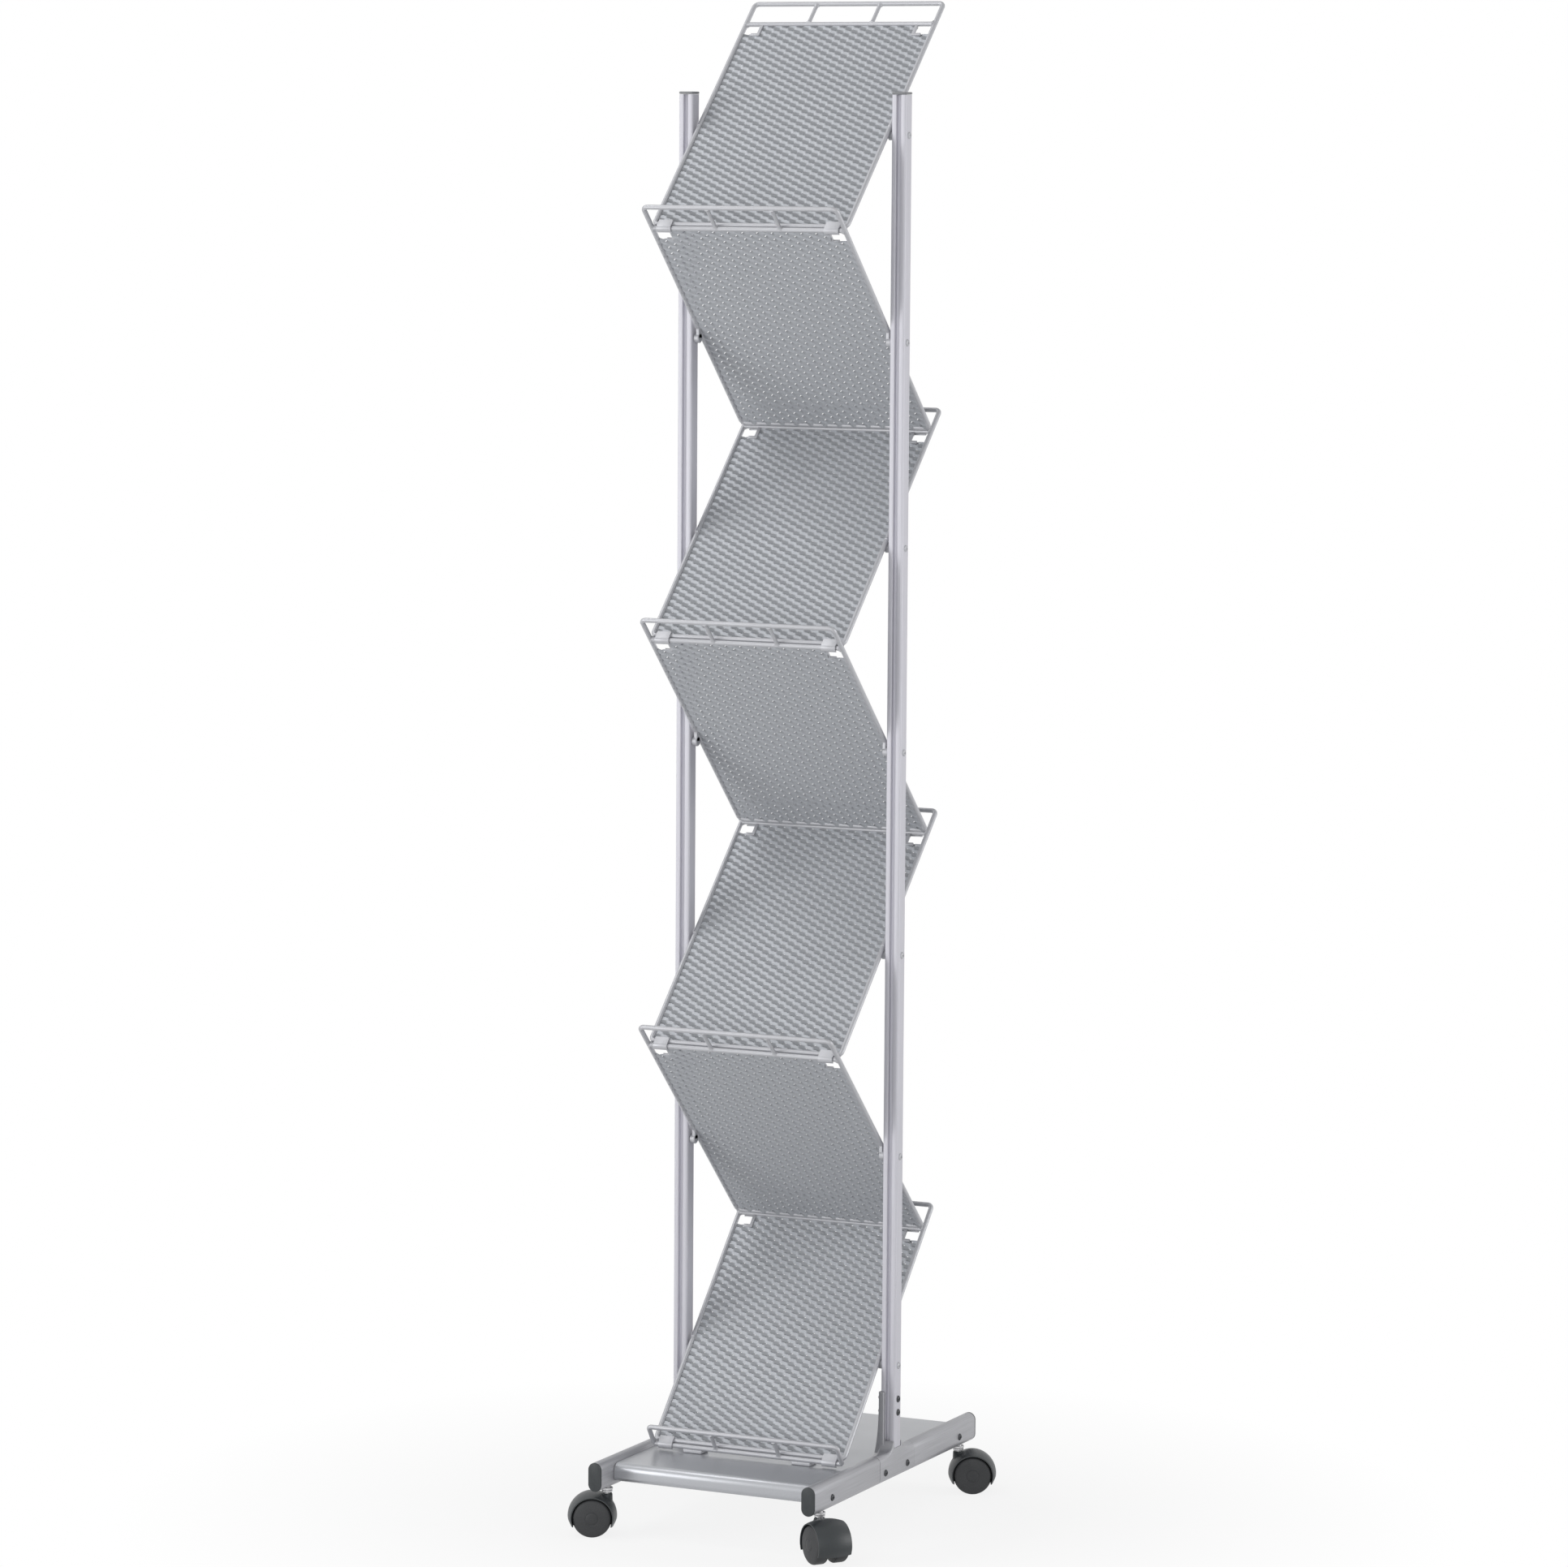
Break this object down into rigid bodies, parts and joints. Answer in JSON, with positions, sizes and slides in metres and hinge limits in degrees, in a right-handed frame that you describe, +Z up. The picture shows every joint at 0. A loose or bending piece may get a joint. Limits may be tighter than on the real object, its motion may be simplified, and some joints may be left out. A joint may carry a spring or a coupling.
{
  "type": "periodical display rack",
  "caption": "Tall narrow floor rack: wire-framed mesh panels zigzag between two uprights, making lipped pockets for periodicals front and back, on a castered base.",
  "frame": {"origin": "on the floor, midway between the two rails and midway between their front and rear ends", "axes": "+X to the right seen from the front, +Y to the back, +Z up along the uprights"},
  "size_m": [0.3282, 0.422, 1.5667],
  "materials": {
    "silver_paint": "silver-grey satin paint",
    "silver_mesh": "silver-grey satin paint on expanded mesh",
    "anodised_aluminium": "satin anodised",
    "charcoal_plastic": "moulded, matt",
    "wheel_plastic": "moulded, matt",
    "zinc_steel": "zinc plated"
  },
  "bodies": {
    "rack": {"panel_frame_1": "silver_paint", "mesh_sheet_1": "silver_mesh", "panel_frame_2": "silver_paint", "mesh_sheet_2": "silver_mesh", "panel_frame_3": "silver_paint", "mesh_sheet_3": "silver_mesh", "panel_frame_4": "silver_paint", "mesh_sheet_4": "silver_mesh", "panel_frame_5": "silver_paint", "mesh_sheet_5": "silver_mesh", "panel_frame_6": "silver_paint", "mesh_sheet_6": "silver_mesh", "panel_frame_7": "silver_paint", "mesh_sheet_7": "silver_mesh", "foot_lip": "silver_paint", "base_plate": "silver_paint", "upright_left": "anodised_aluminium", "upright_cap_left": "charcoal_plastic", "foot_bracket_left": "anodised_aluminium", "rail_front_left": "anodised_aluminium", "rail_cap_front_left": "charcoal_plastic", "rail_rear_left": "anodised_aluminium", "rail_cap_rear_left": "charcoal_plastic", "panel_screw_1_left": "zinc_steel", "panel_screw_2_left": "zinc_steel", "panel_screw_3_left": "zinc_steel", "panel_screw_4_left": "zinc_steel", "panel_screw_5_left": "zinc_steel", "panel_screw_6_left": "zinc_steel", "panel_screw_7_left": "zinc_steel", "upright_right": "anodised_aluminium", "upright_cap_right": "charcoal_plastic", "foot_bracket_right": "anodised_aluminium", "rail_front_right": "anodised_aluminium", "rail_cap_front_right": "charcoal_plastic", "rail_rear_right": "anodised_aluminium", "rail_cap_rear_right": "charcoal_plastic", "panel_screw_1_right": "zinc_steel", "panel_screw_2_right": "zinc_steel", "panel_screw_3_right": "zinc_steel", "panel_screw_4_right": "zinc_steel", "panel_screw_5_right": "zinc_steel", "panel_screw_6_right": "zinc_steel", "panel_screw_7_right": "zinc_steel", "caster_stem_front_left": "zinc_steel", "caster_stem_front_right": "zinc_steel", "caster_stem_rear_left": "zinc_steel", "caster_stem_rear_right": "zinc_steel"},
    "caster_front_left": {"caster_hood_front_left": "charcoal_plastic"},
    "wheel_front_left_a": {"caster_wheel_front_left_a": "wheel_plastic"},
    "wheel_front_left_b": {"caster_wheel_front_left_b": "wheel_plastic"},
    "caster_front_right": {"caster_hood_front_right": "charcoal_plastic"},
    "wheel_front_right_a": {"caster_wheel_front_right_a": "wheel_plastic"},
    "wheel_front_right_b": {"caster_wheel_front_right_b": "wheel_plastic"},
    "caster_rear_left": {"caster_hood_rear_left": "charcoal_plastic"},
    "wheel_rear_left_a": {"caster_wheel_rear_left_a": "wheel_plastic"},
    "wheel_rear_left_b": {"caster_wheel_rear_left_b": "wheel_plastic"},
    "caster_rear_right": {"caster_hood_rear_right": "charcoal_plastic"},
    "wheel_rear_right_a": {"caster_wheel_rear_right_a": "wheel_plastic"},
    "wheel_rear_right_b": {"caster_wheel_rear_right_b": "wheel_plastic"}
  },
  "joints": [
    {"name": "swivel_front_left", "type": "hinge", "parent": "rack", "child": "caster_front_left", "pos_m": [-0.1205, -0.172, 0.04], "axis": [0, 0, 1], "continuous": true},
    {"name": "roll_front_left_a", "type": "hinge", "parent": "caster_front_left", "child": "wheel_front_left_a", "pos_m": [-0.13403, -0.17848, 0.02], "axis": [0.4321, -0.9018, 0], "continuous": true},
    {"name": "roll_front_left_b", "type": "hinge", "parent": "caster_front_left", "child": "wheel_front_left_b", "pos_m": [-0.13403, -0.17848, 0.02], "axis": [0.4321, -0.9018, 0], "continuous": true},
    {"name": "swivel_front_right", "type": "hinge", "parent": "rack", "child": "caster_front_right", "pos_m": [0.1205, -0.172, 0.04], "axis": [0, 0, 1], "continuous": true},
    {"name": "roll_front_right_a", "type": "hinge", "parent": "caster_front_right", "child": "wheel_front_right_a", "pos_m": [0.13226, -0.18132, 0.02], "axis": [0.6211, 0.7837, 0], "continuous": true},
    {"name": "roll_front_right_b", "type": "hinge", "parent": "caster_front_right", "child": "wheel_front_right_b", "pos_m": [0.13226, -0.18132, 0.02], "axis": [0.6211, 0.7837, 0], "continuous": true},
    {"name": "swivel_rear_left", "type": "hinge", "parent": "rack", "child": "caster_rear_left", "pos_m": [-0.1205, 0.172, 0.04], "axis": [0, 0, 1], "continuous": true},
    {"name": "roll_rear_left_a", "type": "hinge", "parent": "caster_rear_left", "child": "wheel_rear_left_a", "pos_m": [-0.13226, 0.18132, 0.02], "axis": [-0.6211, -0.7837, 0], "continuous": true},
    {"name": "roll_rear_left_b", "type": "hinge", "parent": "caster_rear_left", "child": "wheel_rear_left_b", "pos_m": [-0.13226, 0.18132, 0.02], "axis": [-0.6211, -0.7837, 0], "continuous": true},
    {"name": "swivel_rear_right", "type": "hinge", "parent": "rack", "child": "caster_rear_right", "pos_m": [0.1205, 0.172, 0.04], "axis": [0, 0, 1], "continuous": true},
    {"name": "roll_rear_right_a", "type": "hinge", "parent": "caster_rear_right", "child": "wheel_rear_right_a", "pos_m": [0.13403, 0.17848, 0.02], "axis": [-0.4321, 0.9018, 0], "continuous": true},
    {"name": "roll_rear_right_b", "type": "hinge", "parent": "caster_rear_right", "child": "wheel_rear_right_b", "pos_m": [0.13403, 0.17848, 0.02], "axis": [-0.4321, 0.9018, 0], "continuous": true}
  ]
}
